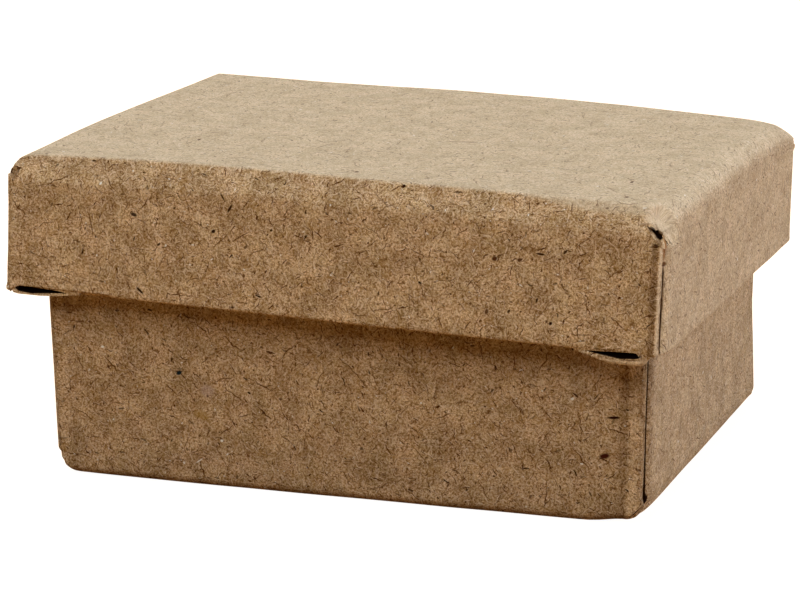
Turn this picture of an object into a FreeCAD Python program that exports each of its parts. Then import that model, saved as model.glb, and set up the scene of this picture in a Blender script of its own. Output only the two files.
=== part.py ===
"""Small two-piece box of kraft board: a tray and a shallow lift-off lid, each folded from one sheet.

Each half is a floor with four walls turned over double at the rim. The end walls wrap round the
upright corners. The long walls lie over that wrap as panels one board thickness proud, so an open
lap seam runs up every corner, and a small three-sided hole is left where three folds meet. At the
two front corners of the lid the turned-over rim has cracked and sags as a short lip.

Lengths are millimetres and angles are degrees. +Z is up, X runs along the long walls, -Y is the
front, and the origin is the centre of the tray's underside. Each half is drawn with its floor at
the origin and its rim up; the lid is then turned over and set down on the tray.
"""

import FreeCAD, Part
import math
import os
import Sketcher

SIZES = {
    "board": 0.5,               # thickness of the sheet; a wall is two of these
    "lid_length": 60.35,        # over the end walls
    "lid_depth": 45.0,          # over the long walls, at the top
    "lid_flare": 1.2,           # how much deeper the lid is at its rim: its long walls lean out
    "lid_height": 12.5,
    "lid_end_fold": 2.1,        # outside radius of the fold between top and end wall
    "lid_long_fold": 2.3,       # outside radius of the fold between top and long wall
    "lid_seam_inset": 0.32,     # from the end wall's face to the end of the long panel
    "end_clearance": 1.0,       # between lid and tray at each end, at the tray's rim
    "long_clearance": 1.3,      # between lid and tray at each long wall, under the lid's top
    "tray_height": 27.7,
    "tray_taper": 1.35,         # how much shorter the tray is at its floor than at its rim
    "tray_end_fold": 2.5,
    "tray_long_fold": 0.9,
    "tray_seam_inset": 0.55,
    "corner_round": 0.6,        # outside radius of the upright corners
    "panel_round": 0.25,        # rounding of the long panels' upright ends
    "inner_fold": 0.4,          # inside radius where a long wall meets the floor
    "rim_round": 0.45,          # rounding of the turned-over rim outside
    "rim_ease": 0.3,            # bevel of the turned-over rim inside
    "seam_gap": 0.15,           # width of the open lap seam
    "seam_depth": 0.3,          # how far the seam goes in behind the panel
    "turn_in_gap": 0.5,         # the turned-in long walls stop this far above the floor
    "turn_in_end": 3.0,         # and that gap stops this far short of the end walls
    "lid_hole": 0.85,           # radius of the three-sided corner hole
    "lid_hole_inset": 0.45,     # its centre, in from the end of the panel
    "lid_hole_height": 1.5,     # its centre, from the outside of the top
    "tray_hole": 0.5,
    "tray_hole_inset": 0.15,
    "tray_hole_height": 1.7,
    "hole_depth": 0.8,
    "slit_start": 1.8,          # blunt end of the cracked rim, in from the end of the panel
    "slit_end": 6.6,            # closed end of the cracked rim
    "slit_top": 0.25,           # how far the crack runs up the panel at its blunt end
    "slit_widest": 3.4,         # where the crack gapes most
    "slit_drop": 0.4,           # how far below the rim it reaches there
    "lip_start": 0.6,           # the sagging lip, in from the end of the panel
    "lip_end": 7.4,
    "lip_low_start": 1.6,       # its lowest stretch
    "lip_low_end": 4.2,
    "lip_drop": 0.85,           # how far it hangs below the rim
    "lip_root": 0.6,            # how far it reaches up into the wall
    "seat_gap": 0.1,            # between the tray's rim and the lid's inside where it sits lowest
    "lid_tilt": 1.7,            # the lid's left end sits higher
    "lid_turn": -0.95,          # the lid is turned a little on the tray
    "lid_shift_x": 0.24,        # centre of the lid's top from the middle of the tray
    "lid_shift_y": 0.03,
}

SHEET = "Sizes"
REACH = "1"                     # how far a cutting solid runs out past the face that it opens
FINE = 1e-3                     # a height difference below this is none

XZ_PLANE = FreeCAD.Rotation(FreeCAD.Vector(1, 0, 0), 90)
YZ_PLANE = FreeCAD.Rotation(FreeCAD.Vector(1, 1, 1), 120)
POINT_UP_ALONG_Y = FreeCAD.Rotation(FreeCAD.Vector(1, 1, 1), 240)
ALONG_X = FreeCAD.Vector(1, 0, 0)
ALONG_Y = FreeCAD.Vector(0, 1, 0)
ALONG_Z = FreeCAD.Vector(0, 0, 1)

doc = FreeCAD.newDocument("KraftBox")
sheet = doc.addObject("Spreadsheet::Sheet", SHEET)


def fill_sheet():
    """Write every driving size to the spreadsheet under its own alias."""
    for row, (alias, size) in enumerate(SIZES.items(), start=1):
        sheet.set(f"A{row}", alias)
        sheet.set(f"B{row}", str(size))
        sheet.setAlias(f"B{row}", alias)
    doc.recompute()


def cell(alias):
    """The expression that reads one size from the sheet."""
    return f"{SHEET}.{alias}"


def value(expression):
    """The present value of an expression on the sheet, as a plain number."""
    return float(sheet.evalExpression(expression))


# ---------------------------------------------------------------------------------------------
# Sketches
# ---------------------------------------------------------------------------------------------

def place_point(sketch, geometry, number, across, up):
    """Hold a point of the sketch at two expressions measured from the sketch's origin."""
    for axis, expression in (("X", across), ("Y", up)):
        constraint = Sketcher.Constraint(f"Distance{axis}", -1, 1, geometry, 1, value(expression))
        label = f"corner{number}_{axis.lower()}"
        sketch.renameConstraint(sketch.addConstraint(constraint), label)
        sketch.setExpression(f".Constraints.{label}", expression)


def fold_arc(corner, before, after, radius):
    """The arc that rounds a corner, and the points where it meets the sides before and after."""
    back = (before - corner).normalize()
    ahead = (after - corner).normalize()
    half_angle = back.getAngle(ahead) / 2
    trim = radius / math.tan(half_angle)
    centre = corner + (back + ahead).normalize() * (radius / math.sin(half_angle))
    first = corner + back * trim
    last = corner + ahead * trim
    start = math.atan2(first.y - centre.y, first.x - centre.x)
    stop = math.atan2(last.y - centre.y, last.x - centre.x)
    return first, last, Part.ArcOfCircle(Part.Circle(centre, ALONG_Z, radius), start, stop)


def outline(name, plane, corners):
    """A closed anticlockwise sketch; each corner is (across, up, fold), with None for a sharp one."""
    sketch = doc.addObject("Sketcher::SketchObject", name)
    sketch.Placement = FreeCAD.Placement(FreeCAD.Vector(0, 0, 0), plane)
    count = len(corners)
    spots = [FreeCAD.Vector(value(across), value(up), 0) for across, up, fold in corners]
    arrive, leave, arcs = list(spots), list(spots), {}
    for number, (across, up, fold) in enumerate(corners):
        if fold is not None:
            arrive[number], leave[number], arcs[number] = fold_arc(
                spots[number], spots[number - 1], spots[(number + 1) % count], value(fold))
    for number in range(count):
        sketch.addGeometry(Part.LineSegment(leave[number], arrive[(number + 1) % count]), False)

    for number, (across, up, fold) in enumerate(corners):
        side_before, side_after = (number - 1) % count, number
        if fold is None:
            sketch.addConstraint(Sketcher.Constraint("Coincident", side_before, 2, side_after, 1))
            place_point(sketch, side_after, number, across, up)
            continue
        arc = sketch.addGeometry(arcs[number], False)
        point = sketch.addGeometry(Part.Point(spots[number]), True)
        sketch.addConstraint(Sketcher.Constraint("Tangent", side_before, 2, arc, 1))
        sketch.addConstraint(Sketcher.Constraint("Tangent", arc, 2, side_after, 1))
        sketch.addConstraint(Sketcher.Constraint("PointOnObject", point, 1, side_before))
        sketch.addConstraint(Sketcher.Constraint("PointOnObject", point, 1, side_after))
        place_point(sketch, point, number, across, up)
        radius = sketch.addConstraint(Sketcher.Constraint("Radius", arc, value(fold)))
        sketch.renameConstraint(radius, f"corner{number}_fold")
        sketch.setExpression(f".Constraints.corner{number}_fold", fold)
    return sketch


def trapezium(base, rim, low, high, fold=None, rim_fold=None):
    """The corners of an upright trapezium: two at the floor, then two at the rim."""
    return [(f"-({base}) / 2", low, fold), (f"({base}) / 2", low, fold),
            (f"({rim}) / 2", high, rim_fold), (f"-({rim}) / 2", high, rim_fold)]


# ---------------------------------------------------------------------------------------------
# Solids
# ---------------------------------------------------------------------------------------------

def extrude(name, sketch, direction, length, start=None):
    """Pull a sketch to both sides alike, or one way from a start place along Y."""
    solid = doc.addObject("Part::Extrusion", name)
    solid.Base = sketch
    solid.DirMode = "Custom"
    solid.Dir = direction
    solid.Solid = True
    solid.Symmetric = start is None
    solid.setExpression("LengthFwd", length)
    if start is not None:
        solid.setExpression("Placement.Base.y", start)
    return solid


def combine(kind, name, solids):
    """Fuse or intersect a list of solids."""
    made = doc.addObject(kind, name)
    made.Shapes = solids
    return made


def cut(name, base, tool):
    """Take one solid out of another."""
    made = doc.addObject("Part::Cut", name)
    made.Base = base
    made.Tool = tool
    return made


def with_mirror(name, source, normal):
    """A solid together with its mirror image in an upright plane through the origin."""
    image = doc.addObject("Part::Mirroring", f"{name}_image")
    image.Source = source
    image.Base = FreeCAD.Vector(0, 0, 0)
    image.Normal = normal
    return combine("Part::MultiFuse", name, [source, image])


def trough(name, ends, longs, length, depth):
    """A solid seen as one outline from the long side and as another from the end."""
    end_sketch = outline(f"{name}_end_outline", XZ_PLANE, ends)
    long_sketch = outline(f"{name}_long_outline", YZ_PLANE, longs)
    end_solid = extrude(f"{name}_ends", end_sketch, ALONG_Y, f"2 * ({depth})")
    long_solid = extrude(f"{name}_longs", long_sketch, ALONG_X, f"2 * ({length})")
    return combine("Part::MultiCommon", name, [end_solid, long_solid])


def upright_edges(shape):
    """The numbers of a block's four upright edges."""
    found = []
    for number, edge in enumerate(shape.Edges, start=1):
        heights = [vertex.Point.z for vertex in edge.Vertexes]
        if max(heights) - min(heights) > FINE:
            found.append(number)
    return found


# ---------------------------------------------------------------------------------------------
# One half of the box, floor down and rim up
# ---------------------------------------------------------------------------------------------

class HalfBox:
    """One half folded from a sheet; every size is an expression on the spreadsheet."""

    def __init__(self, half, length, length_rim, depth, depth_rim):
        self.half = half
        self.length = length
        self.length_rim = length_rim
        self.depth = depth
        self.depth_rim = depth_rim
        self.height = cell(f"{half}_height")
        self.inset = cell(f"{half}_seam_inset")
        self.end_fold = cell(f"{half}_end_fold")
        self.long_fold = cell(f"{half}_long_fold")

    def rounded_block(self, name, trims, long_fold, upright_round):
        """A block this much smaller than the half in X and Y, with its folds and corners rounded."""
        trim_x, trim_y = trims
        length, length_rim = f"({self.length}) - {trim_x}", f"({self.length_rim}) - {trim_x}"
        depth, depth_rim = f"({self.depth}) - {trim_y}", f"({self.depth_rim}) - {trim_y}"
        block = trough(f"{name}_block",
                       trapezium(length, length_rim, "0", self.height),
                       trapezium(depth, depth_rim, "0", self.height), self.length_rim, self.depth_rim)
        doc.recompute()
        radius = value(upright_round)
        rounded = doc.addObject("Part::Fillet", f"{name}_rounded")
        rounded.Base = block
        rounded.Edges = [(number, radius, radius) for number in upright_edges(block.Shape)]
        rim = cell("rim_round")
        folds = trough(f"{name}_folds",
                       trapezium(length, length_rim, "0", self.height, self.end_fold, rim),
                       trapezium(depth, depth_rim, "0", self.height, long_fold, rim),
                       self.length_rim, self.depth_rim)
        return combine("Part::MultiCommon", name, [rounded, folds])

    def seams(self):
        """The slabs that open a groove in the wrapped corner just past each end of the panels."""
        widening = f"2 * {self.inset} + 2 * {cell('seam_gap')}"
        ends = trapezium(f"({self.length}) - {widening}", f"({self.length_rim}) - {widening}",
                         "0", self.height, self.end_fold)
        sketch = outline(f"{self.half}_seam_outline", XZ_PLANE, ends)
        start = f"({self.depth}) / 2 - {cell('board')} - {cell('seam_depth')}"
        back = extrude(f"{self.half}_seam_back", sketch, ALONG_Y, self.depth, start)
        return with_mirror(f"{self.half}_seams", back, ALONG_Y)

    def hollow(self):
        """The inside: walls two boards thick, a floor of one, and a bevel round the rim."""
        wall = f"4 * {cell('board')}"
        length, length_rim = f"({self.length}) - {wall}", f"({self.length_rim}) - {wall}"
        depth, depth_rim = f"({self.depth}) - {wall}", f"({self.depth_rim}) - {wall}"
        end_fold = f"{self.end_fold} - 2 * {cell('board')}"
        long_fold = f"max({cell('inner_fold')}; {self.long_fold} - 2 * {cell('board')})"
        room = trough(f"{self.half}_room",
                      trapezium(length, length_rim, cell("board"), self.height, end_fold),
                      trapezium(depth, depth_rim, cell("board"), self.height, long_fold),
                      self.length_rim, self.depth_rim)
        ease = cell("rim_ease")
        low, high = f"({self.height}) - {ease}", f"({self.height}) + {ease}"
        mouth = trough(f"{self.half}_mouth",
                       trapezium(length_rim, f"{length_rim} + 4 * {ease}", low, high),
                       trapezium(depth_rim, f"{depth_rim} + 4 * {ease}", low, high),
                       self.length_rim, self.depth_rim)
        return combine("Part::MultiFuse", f"{self.half}_hollow", [room, mouth, self.turn_in_gap()])

    def turn_in_gap(self):
        """The gap under the lower edge of each turned-in long wall."""
        gap = doc.addObject("Part::Box", f"{self.half}_turn_in_gap")
        length = f"({self.length}) - 4 * {cell('board')} - 2 * {cell('turn_in_end')}"
        depth = f"({self.depth}) - 2 * {cell('board')}"
        gap.setExpression("Length", length)
        gap.setExpression("Width", depth)
        gap.setExpression("Height", cell("turn_in_gap"))
        gap.setExpression("Placement.Base.x", f"-({length}) / 2")
        gap.setExpression("Placement.Base.y", f"-({depth}) / 2")
        above_fold = f"max({cell('board')}; {self.long_fold} - {cell('board')})"
        gap.setExpression("Placement.Base.z", above_fold)
        return gap

    def corner_holes(self):
        """The three-sided hole at each lower corner, pointing up into the seam."""
        hole = doc.addObject("Part::Prism", f"{self.half}_corner_hole")
        hole.Polygon = 3
        hole.Placement.Rotation = POINT_UP_ALONG_Y
        panel_end = f"({self.length}) / 2 - {self.inset}"
        hole.setExpression("Circumradius", cell(f"{self.half}_hole"))
        hole.setExpression("Height", f"{cell('hole_depth')} + {REACH}")
        hole.setExpression("Placement.Base.x", f"{panel_end} - {cell(f'{self.half}_hole_inset')}")
        hole.setExpression("Placement.Base.y", f"({self.depth}) / 2 - {cell('hole_depth')}")
        hole.setExpression("Placement.Base.z", cell(f"{self.half}_hole_height"))
        pair = with_mirror(f"{self.half}_hole_pair", hole, ALONG_X)
        return with_mirror(f"{self.half}_holes", pair, ALONG_Y)

    def fold(self):
        """Fold the half: wrapped core, proud long panels, hollow, seams and corner holes."""
        board = cell("board")
        core = self.rounded_block(f"{self.half}_core", ("0", f"2 * {board}"),
                                  f"{self.long_fold} - {board}", cell("corner_round"))
        grooved = cut(f"{self.half}_grooved_core", core, self.seams())
        panels = self.rounded_block(f"{self.half}_panels", (f"2 * {self.inset}", "0"),
                                    self.long_fold, cell("panel_round"))
        outside = combine("Part::MultiFuse", f"{self.half}_outside", [grooved, panels])
        hollowed = cut(f"{self.half}_hollowed", outside, self.hollow())
        return cut(f"{self.half}_folded", hollowed, self.corner_holes())

    def front_strip(self, name, corners, start, length):
        """A thin solid in the front wall near the right end, and its mirror image at the left."""
        sketch = outline(f"{name}_outline", XZ_PLANE, corners)
        return with_mirror(f"{name}s", extrude(name, sketch, ALONG_Y, length, start), ALONG_X)

    def crack_rim(self, folded):
        """Open the front rim near both corners and let the turned-over edge sag as a lip."""
        panel_end = f"(({self.length_rim}) / 2 - {self.inset})"
        wall = f"2 * {cell('board')}"
        face = f"({self.depth_rim}) / 2"

        def point(inward, past_rim):
            return f"{panel_end} - {inward}", f"{self.height} + {past_rim}", None

        root = f"(0 - {cell('lip_root')})"
        lip = self.front_strip(f"{self.half}_lip", [
            point(cell("lip_end"), root),
            point(cell("lip_start"), root),
            point(cell("lip_start"), "0"),
            point(cell("lip_low_start"), cell("lip_drop")),
            point(cell("lip_low_end"), cell("lip_drop")),
            point(cell("lip_end"), "0"),
        ], f"{face} - {wall}", f"{wall} - {cell('seam_gap')}")
        slit = self.front_strip(f"{self.half}_slit", [
            point(cell("slit_end"), "0"),
            point(cell("slit_start"), f"(0 - {cell('slit_top')})"),
            point(cell("slit_start"), cell("slit_top")),
            point(cell("slit_widest"), cell("slit_drop")),
        ], f"{face} - {cell('board')}", f"{cell('board')} + {REACH}")
        lipped = combine("Part::MultiFuse", f"{self.half}_lipped", [folded, lip])
        return cut(f"{self.half}_cracked", lipped, slit)


def tray_length():
    """Length of the tray over its rim: it fits inside the lid with the end clearance."""
    return f"{cell('lid_length')} - 4 * {cell('board')} - 2 * {cell('end_clearance')}"


def make_tray():
    """The deeper tray, standing on its floor at the origin."""
    depth = f"{cell('lid_depth')} - 4 * {cell('board')} - 2 * {cell('long_clearance')}"
    floor_length = f"{tray_length()} - {cell('tray_taper')}"
    return HalfBox("tray", floor_length, tray_length(), depth, depth).fold()


def make_lid():
    """The shallow lid, turned over and set down a little askew on the tray's rim."""
    length = cell("lid_length")
    depth_rim = f"{cell('lid_depth')} + {cell('lid_flare')}"
    half = HalfBox("lid", length, length, cell("lid_depth"), depth_rim)
    lid = half.crack_rim(half.fold())
    tray_reach = f"({tray_length()}) / 2 - {cell('lid_shift_x')}"
    seat = f"{cell('board')} / cos({cell('lid_tilt')} * 1 deg) + {cell('seat_gap')}"
    slope = f"({tray_reach}) * tan({cell('lid_tilt')} * 1 deg)"
    top = f"{cell('tray_height')} + {seat} + {slope}"
    place = f"vector({cell('lid_shift_x')}; {cell('lid_shift_y')}; {top})"
    turn = f"rotation({cell('lid_turn')}; {cell('lid_tilt')}; 180)"
    lid.setExpression("Placement", f"placement({place}; {turn})")
    return lid


def check(node):
    """Stop if a half is not one sound solid."""
    if node.Shape.isNull() or not node.Shape.isValid():
        raise ValueError(f"{node.Label}: {node.State}")
    if len(node.Shape.Solids) != 1:
        raise ValueError(f"{node.Label}: {len(node.Shape.Solids)} solids")


fill_sheet()
NODES = {"tray": make_tray(), "lid": make_lid()}
doc.recompute()
for thing in doc.Objects:
    if "Invalid" in thing.State or "Error" in thing.State:
        raise ValueError(f"{thing.Label}: {thing.State}")

os.makedirs("parts", exist_ok=True)
for label, node in NODES.items():
    node.Label = label
    check(node)
    node.Shape.exportStep(f"parts/{label}.step")
    print(label, round(node.Shape.Volume, 2), node.Shape.BoundBox)
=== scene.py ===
"""A small kraft board box in two folded halves: a tray and a lift-off lid.

Each half starts from its own solid, is cut into a fine net of faces, and is then pushed out of
true the way folded board sits: drooping corners, a bowed top, proud lapped ends, uneven lips.
Sizes are in millimetres until a mesh is written, which is in metres.
"""

import logging
import math
from abc import ABC, abstractmethod
from dataclasses import dataclass
from enum import Enum

import bmesh
import bpy
import numpy as np
from mathutils import Matrix, Vector, noise


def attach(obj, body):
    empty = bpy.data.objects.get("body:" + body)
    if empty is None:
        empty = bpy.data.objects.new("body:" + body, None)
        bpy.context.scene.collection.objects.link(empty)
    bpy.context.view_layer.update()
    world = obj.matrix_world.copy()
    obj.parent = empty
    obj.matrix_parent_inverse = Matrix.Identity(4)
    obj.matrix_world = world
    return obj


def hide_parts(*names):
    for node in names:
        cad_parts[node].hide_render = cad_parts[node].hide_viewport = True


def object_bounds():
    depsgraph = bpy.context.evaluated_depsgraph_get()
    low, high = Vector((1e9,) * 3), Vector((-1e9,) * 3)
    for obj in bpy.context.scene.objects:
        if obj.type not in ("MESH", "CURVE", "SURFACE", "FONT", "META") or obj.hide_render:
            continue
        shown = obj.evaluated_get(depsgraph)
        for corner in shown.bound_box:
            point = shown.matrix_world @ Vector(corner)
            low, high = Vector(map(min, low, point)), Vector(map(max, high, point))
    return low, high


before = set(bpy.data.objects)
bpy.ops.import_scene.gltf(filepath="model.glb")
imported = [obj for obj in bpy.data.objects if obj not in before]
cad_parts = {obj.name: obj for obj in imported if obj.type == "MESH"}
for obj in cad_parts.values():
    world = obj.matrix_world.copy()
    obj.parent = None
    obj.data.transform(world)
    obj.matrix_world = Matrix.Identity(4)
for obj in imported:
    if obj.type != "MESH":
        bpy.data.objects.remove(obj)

Array = np.ndarray
Colour = tuple[float, float, float]
Place = tuple[float, float, float]
Socket = bpy.types.NodeSocket

LOG = logging.getLogger("kraft_box")
CAD_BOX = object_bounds()
MM = 0.001
# Points nearer than this, in metres, are one point.
WELD = 1e-6
# Faces that meet flatter than this are one face, and edges sharper than SHARP_ANGLE stay crisp.
FLAT_ANGLE = math.radians(0.4)
SHARP_ANGLE = math.radians(50.0)
# A face belongs to a wall when the level part of its direction is more than this.
WALL_LEAN = 0.35
# The lid is cut from the same board as the tray, this far along it.
LID_SHEET = 140.0
SHEET_UV = "sheet"
# Attribute for painted light and shade, and a little wear: painted highlights and shade along the
# lapped ends, black painted shade in slots and cracks, and a rubbed corner.
PAINTED_LIGHT_AND_WEAR = "painted_light_and_wear"
# Attribute for dust and painted sheen: the pale cast that grazing light gives the lid's top and the
# right ends.
DUST_AND_SHEEN = "dust_and_sheen"


class Half(Enum):
    """The two folded halves; each value is both its node and its body."""

    TRAY = "tray"
    LID = "lid"


# ---- Finish ----

class Net:
    """A short way to write down the nodes of a material or a world."""

    def __init__(self, owner: bpy.types.Material | bpy.types.World) -> None:
        """Start with no nodes.

        Args:
            owner: What the nodes belong to.
        """
        owner.use_nodes = True
        self.tree = owner.node_tree
        self.tree.nodes.clear()

    def node(self, kind: str, settings: dict | None = None, *terms: object,
             **inputs: object) -> bpy.types.Node:
        """Add a node.

        Args:
            kind: The node's type without its ShaderNode prefix.
            settings: The node's own properties.
            terms: What its sockets take in order; each a value or another node's output.
            inputs: What its sockets take by name, with _ for a space.

        Returns:
            The new node.
        """
        made = self.tree.nodes.new(f"ShaderNode{kind}")
        for key, setting in (settings or {}).items():
            setattr(made, key, setting)
        for socket, wanted in zip(made.inputs, terms):
            self.plug(socket, wanted)
        for key, wanted in inputs.items():
            self.plug(made.inputs[key.replace("_", " ")], wanted)
        return made

    def plug(self, socket: Socket, wanted: object) -> None:
        """Link an output to a socket, or set the socket's own value.

        Args:
            socket: The socket to feed.
            wanted: Another node's output, a value, or a colour as red, green and blue.
        """
        if isinstance(wanted, Socket):
            self.tree.links.new(wanted, socket)
        elif socket.type == "RGBA":
            socket.default_value = (*wanted, 1.0)
        else:
            socket.default_value = wanted

    def maths(self, operation: str, *terms: object) -> Socket:
        """Do one step of arithmetic on numbers."""
        return self.node("Math", {"operation": operation}, *terms).outputs[0]

    def vector(self, operation: str, *terms: object) -> Socket:
        """Do one step of arithmetic on vectors."""
        made = self.node("VectorMath", {"operation": operation}, *terms)
        return made.outputs["Value" if operation == "LENGTH" else "Vector"]

    def ease(self, value: object, low: float, high: float, start: float = 0.0,
             stop: float = 1.0) -> Socket:
        """Map a number smoothly from one range to another, held at both ends.

        Args:
            value: The number.
            low: The number that gives start.
            high: The number that gives stop.
            start: The result at one end.
            stop: The result at the other.

        Returns:
            The mapped number.
        """
        made = self.node("MapRange", {"interpolation_type": "SMOOTHSTEP"}, Value=value,
                         From_Min=low, From_Max=high, To_Min=start, To_Max=stop)
        return made.outputs["Result"]

    def noise(self, place: object, scale: float, detail: float = 0.0, roughness: float = 0.5,
              shift: float = 0.0) -> bpy.types.Node:
        """Soft noise over the flat sheet.

        Args:
            place: The place on the sheet.
            scale: Turns to the millimetre.
            detail: How many finer layers go on top.
            roughness: How strong the finer layers are.
            shift: How far to slide the noise, so that no two are alike.

        Returns:
            The noise node.
        """
        slid = self.vector("ADD", place, (shift, 1.37 * shift, 0.0)) if shift else place
        return self.node("TexNoise", {"noise_dimensions": "2D"}, Vector=slid, Scale=scale,
                         Detail=detail, Roughness=roughness)

    def stops(self, value: object, stops: tuple[tuple[float, Colour], ...]) -> Socket:
        """Colour a number by a row of stops.

        Args:
            value: The number.
            stops: A position and a colour each, in order.

        Returns:
            The colour.
        """
        made = self.node("ValToRGB", Fac=value)
        row = made.color_ramp.elements
        while len(row) < len(stops):
            row.new(0.5)
        for element, (position, colour) in zip(row, stops):
            element.position = position
            element.color = (*colour, 1.0)
        return made.outputs["Color"]

    def mix(self, factor: object, under: object, over: object, blend: str = "MIX") -> Socket:
        """Lay one colour over another.

        Args:
            factor: How much of the upper colour shows.
            under: The lower colour.
            over: The upper colour.
            blend: How the two meet.

        Returns:
            The mixed colour.
        """
        made = self.node("Mix", {"data_type": "RGBA", "blend_type": blend, "clamp_factor": True})
        # Its colour sockets come after those for numbers and vectors.
        self.plug(made.inputs[0], factor)
        self.plug(made.inputs[6], under)
        self.plug(made.inputs[7], over)
        return made.outputs[2]

    def lie(self, local: object, turn: object, bend: object) -> tuple[Socket, Socket]:
        """Measure a place along and across a bent mark.

        Args:
            local: The place, from the mark's middle.
            turn: How far the place is turned to the mark's long way, in radians.
            bend: How strongly the mark bends.

        Returns:
            The distance along the mark and the distance across it.
        """
        turned = self.node("VectorRotate", {"rotation_type": "Z_AXIS"}, Vector=local, Angle=turn)
        parts = self.node("SeparateXYZ", Vector=turned.outputs["Vector"])
        along, across = parts.outputs["X"], parts.outputs["Y"]
        bowed = self.maths("MULTIPLY_ADD", self.maths("MULTIPLY", along, along), bend, across)
        return along, bowed

    def spindle(self, far: Socket, wide: Socket, rim: float, core: float) -> Socket:
        """Fill a spindle softly.

        Args:
            far: The distance along it, as a share of half its length.
            wide: The distance across it, as a share of half its width.
            rim: The share at which it has faded out.
            core: The share at which it is full.

        Returns:
            1 in the spindle's core and 0 outside its rim.
        """
        share = self.vector("LENGTH", self.node("CombineXYZ", X=far, Y=wide, Z=0.0).outputs[0])
        return self.ease(share, rim, core)

    def by_ray(self, others: Socket, camera: Socket) -> Socket:
        """Show one shader to the camera and another to all the other rays."""
        seen = self.node("LightPath").outputs["Is Camera Ray"]
        return self.node("MixShader", None, seen, others, camera).outputs[0]


@dataclass(frozen=True)
class Felt:
    """A net of fine threads that follow the level lines of soft noise."""

    scale: float
    width: float
    cover: float
    strength: float
    colour: Colour
    seed: float

    def mask(self, net: Net, place: Socket) -> Socket:
        """Draw the threads, in some patches more than in others.

        Args:
            net: The material's nodes.
            place: The place on the sheet.

        Returns:
            How much of the threads' colour lies at each place.
        """
        wave = net.noise(place, self.scale, detail=1.0, roughness=0.4, shift=self.seed)
        off_line = net.maths("ABSOLUTE", net.maths("SUBTRACT", wave.outputs["Fac"], 0.5))
        line = net.ease(off_line, self.width, 0.25 * self.width)
        patch = net.noise(place, 0.8 * self.scale, shift=self.seed + 40.0).outputs["Fac"]
        edge = 0.62 - 0.25 * self.cover
        shown = net.ease(patch, edge, edge + 0.10)
        return net.maths("MULTIPLY", net.maths("MULTIPLY", line, shown), self.strength)


@dataclass(frozen=True)
class Fibres:
    """One layer of loose fibres pressed into the sheet, about one to each cell of a net."""

    cell: float
    length: float
    width: float
    share: float
    strength: float
    bend: float
    colour: Colour
    seed: float

    def mask(self, net: Net, place: Socket) -> Socket:
        """Draw the layer: a fibre's turn, bend, length and depth come from its cell's own chance.

        Args:
            net: The material's nodes.
            place: The place on the sheet.

        Returns:
            How much of the fibres' colour lies at each place.
        """
        shifted = net.vector("ADD", place, (self.seed, self.seed * 1.7, 0.0))
        scaled = net.vector("MULTIPLY", shifted, (1.0 / self.cell, 1.0 / self.cell, 0.0))
        cells = net.node("TexVoronoi", {"voronoi_dimensions": "2D", "feature": "F1"},
                         Vector=scaled, Scale=1.0, Randomness=0.8)
        local = net.vector("SUBTRACT", scaled, cells.outputs["Position"])
        chance = net.node("SeparateColor", Color=cells.outputs["Color"])
        turn = net.maths("MULTIPLY", chance.outputs["Red"], math.tau)
        curl = net.maths("MULTIPLY_ADD", chance.outputs["Green"], 2.0 * self.bend, -self.bend)
        along, bowed = net.lie(local, turn, curl)
        reach = net.maths("MULTIPLY_ADD", chance.outputs["Blue"], 0.6, 0.5)
        far = net.maths("DIVIDE", net.maths("DIVIDE", along, 0.5 * self.length / self.cell), reach)
        wide = net.maths("DIVIDE", bowed, 0.5 * self.width / self.cell)
        body = net.spindle(far, wide, rim=1.15, core=0.6)
        # The finer digits of one chance pick the cells that hold a fibre.
        picked = net.maths("FRACT", net.maths("MULTIPLY", chance.outputs["Green"], 7.31))
        shown = net.ease(picked, 1.0 - self.share, 1.02 - self.share)
        half = 0.5 * self.strength
        depth = net.maths("MULTIPLY_ADD", chance.outputs["Red"], half, half)
        return net.maths("MULTIPLY", net.maths("MULTIPLY", body, shown), depth)


@dataclass(frozen=True)
class Fleck:
    """One mark that sits at its own place on its half's flat sheet, in millimetres."""

    x: float
    y: float
    length: float
    width: float
    angle: float
    strength: float
    colour: Colour
    bend: float = 0.0

    def mask(self, net: Net, place: Socket, shift: float) -> Socket:
        """Draw the mark.

        Args:
            net: The material's nodes.
            place: The place on the sheet.
            shift: How far along the sheet the mark's half begins.

        Returns:
            How much of the mark's colour lies at each place.
        """
        local = net.vector("SUBTRACT", place, (self.x + shift, self.y, 0.0))
        along, bowed = net.lie(local, -math.radians(self.angle), self.bend)
        far = net.maths("DIVIDE", along, 0.5 * self.length)
        wide = net.maths("DIVIDE", bowed, 0.5 * self.width)
        return net.maths("MULTIPLY", net.spindle(far, wide, rim=1.2, core=0.55), self.strength)


UMBER = (0.080, 0.019, 0.002)
BARK = (0.158, 0.057, 0.011)
STRAW = (0.760, 0.525, 0.328)
CHALK = (0.860, 0.760, 0.620)


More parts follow.
